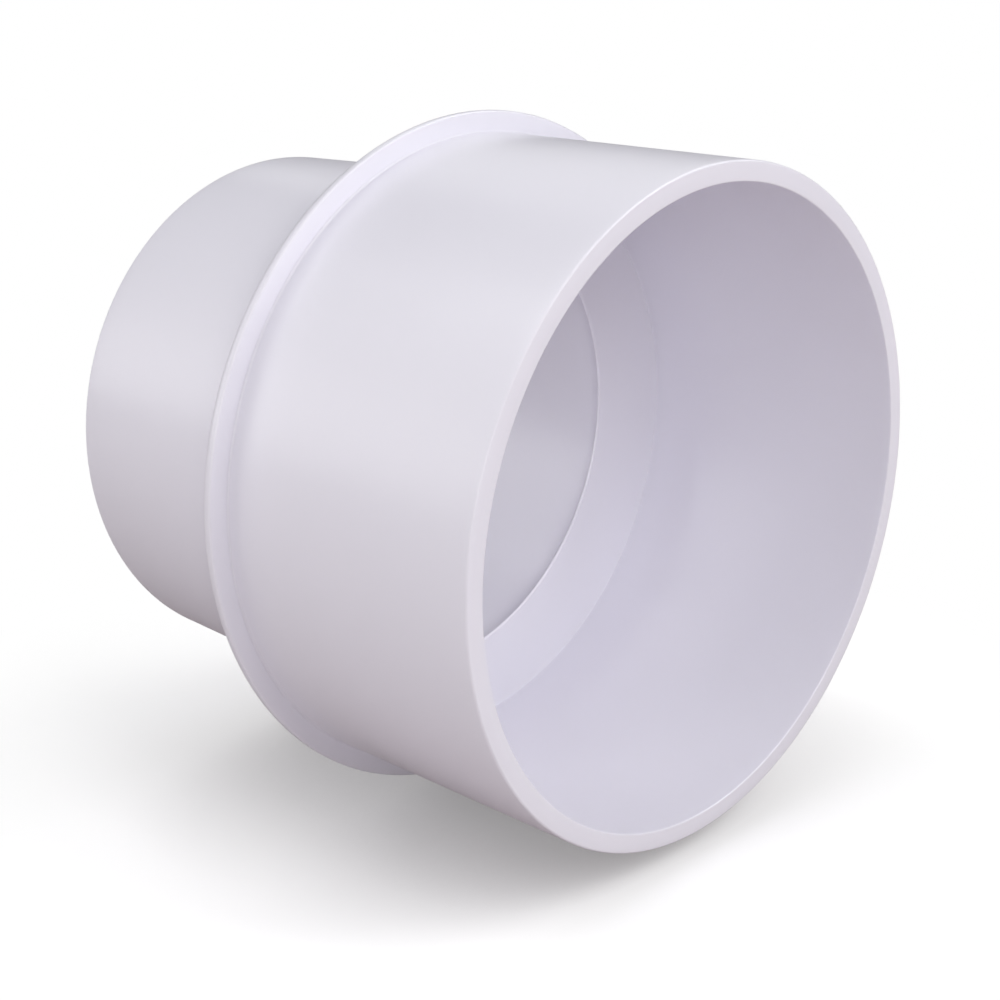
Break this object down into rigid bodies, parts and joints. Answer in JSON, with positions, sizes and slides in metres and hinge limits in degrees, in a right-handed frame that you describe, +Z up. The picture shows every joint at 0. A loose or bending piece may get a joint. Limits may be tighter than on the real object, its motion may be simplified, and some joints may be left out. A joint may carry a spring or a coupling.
{
  "type": "eccentric pipe reducer",
  "caption": "Plastic drain pipe reducer with a large socket, a raised collar and a smaller socket set off its axis.",
  "frame": {"origin": "under the middle of the bounding box, on the surface the fitting lies on", "axes": "+X along the pipe axis out of the large mouth, +Z up as the fitting lies on its side; the small hub is set off toward -Y and a little up"},
  "size_m": [0.0976, 0.1222, 0.1222],
  "materials": {
    "white_pvc": "smooth moulded, satin gloss, white with a faint cool tint"
  },
  "bodies": {
    "root": {"large_socket_hub": "white_pvc", "eccentric_collar_plate": "white_pvc", "small_socket_hub": "white_pvc"}
  },
  "joints": []
}
